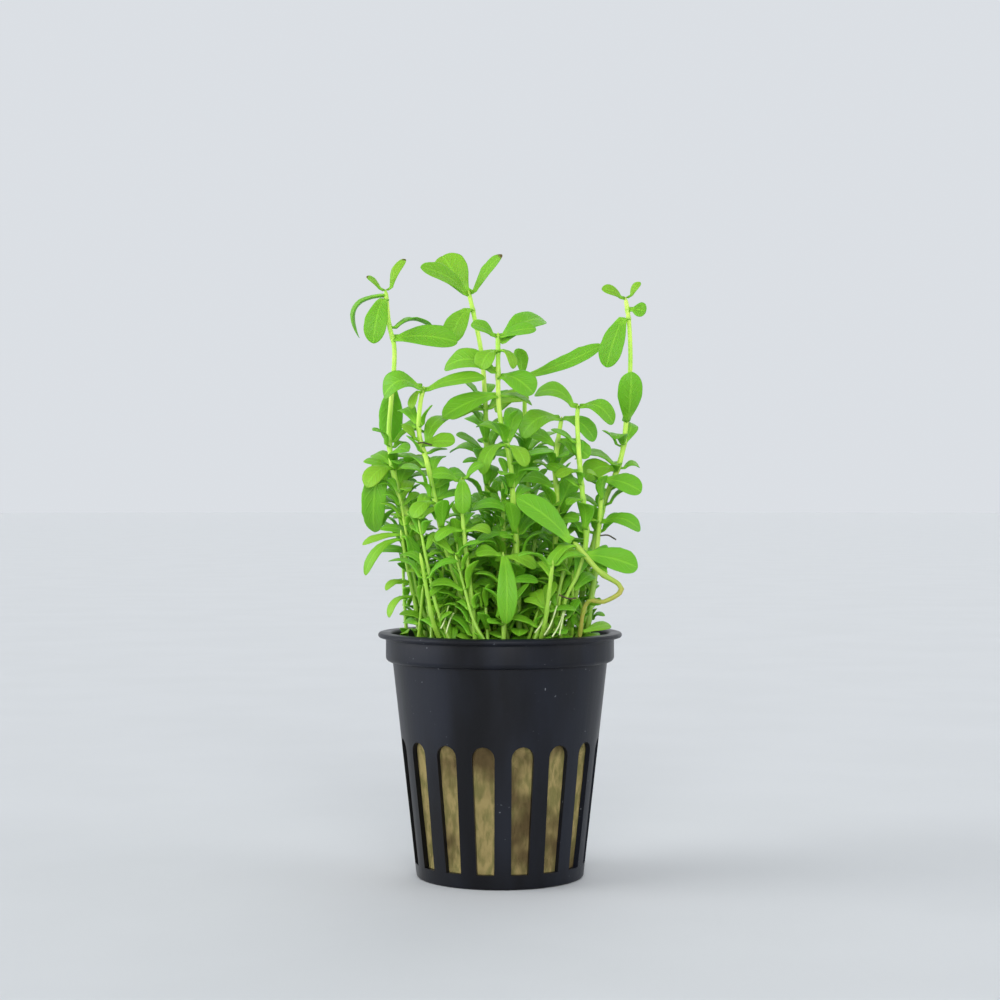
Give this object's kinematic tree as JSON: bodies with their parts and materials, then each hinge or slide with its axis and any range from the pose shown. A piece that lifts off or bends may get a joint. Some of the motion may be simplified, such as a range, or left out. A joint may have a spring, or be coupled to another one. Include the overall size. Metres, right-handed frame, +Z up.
{
  "type": "potted aquarium plant",
  "caption": "Bunch of upright water hyssop stems with opposite rounded leaves, rooted in rock wool in a slotted round plastic aquarium pot.",
  "frame": {"origin": "centre of the pot's flat underside", "axes": "+Z up along the pot's axis, +X to the right and -Y towards the viewer of the picture"},
  "size_m": [0.0605, 0.0537, 0.1284],
  "materials": {
    "black_plastic": "smooth moulded, semi-gloss",
    "rock_wool": "fibrous mineral wool",
    "stem": "smooth, slightly fleshy",
    "leaf": "smooth, slightly fleshy"
  },
  "bodies": {
    "root": {"bent_runner_leaf_1": "leaf", "bent_runner_stem": "stem", "centre_back_leaf_1": "leaf", "centre_back_stem": "stem", "centre_front_leaf_1": "leaf", "centre_front_leaf_2": "leaf", "centre_front_leaf_3": "leaf", "centre_front_leaf_4": "leaf", "centre_front_leaf_5": "leaf", "centre_front_leaf_6": "leaf", "centre_front_leaf_7": "leaf", "centre_front_stem": "stem", "centre_left_tall_leaf_1": "leaf", "centre_left_tall_leaf_2": "leaf", "centre_left_tall_leaf_3": "leaf", "centre_left_tall_leaf_4": "leaf", "centre_left_tall_stem": "stem", "front_left_leaf_1": "leaf", "front_left_stem": "stem", "front_middle_leaf_1": "leaf", "front_middle_stem": "stem", "left_edge_leaf_1": "leaf", "left_edge_stem": "stem", "left_front_leaf_1": "leaf", "left_front_leaf_2": "leaf", "left_front_leaf_3": "leaf", "left_front_stem": "stem", "left_low_leaf_1": "leaf", "left_low_stem": "stem", "left_tall_leaf_1": "leaf", "left_tall_leaf_2": "leaf", "left_tall_leaf_3": "leaf", "left_tall_leaf_4": "leaf", "left_tall_leaf_5": "leaf", "left_tall_stem": "stem", "pot": "black_plastic", "right_centre_leaf_1": "leaf", "right_centre_leaf_2": "leaf", "right_centre_leaf_3": "leaf", "right_centre_stem": "stem", "right_front_leaf_1": "leaf", "right_front_leaf_2": "leaf", "right_front_stem": "stem", "right_low_leaf_1": "leaf", "right_low_leaf_2": "leaf", "right_low_stem": "stem", "right_rim_leaf_1": "leaf", "right_rim_stem": "stem", "right_tall_leaf_1": "leaf", "right_tall_leaf_2": "leaf", "right_tall_leaf_3": "leaf", "right_tall_leaf_4": "leaf", "right_tall_stem": "stem", "rock_wool": "rock_wool", "tuft_back": "stem", "tuft_front_left": "stem", "tuft_front_right": "stem", "tuft_left": "stem", "tuft_middle": "stem", "tuft_right": "stem"}
  },
  "joints": []
}
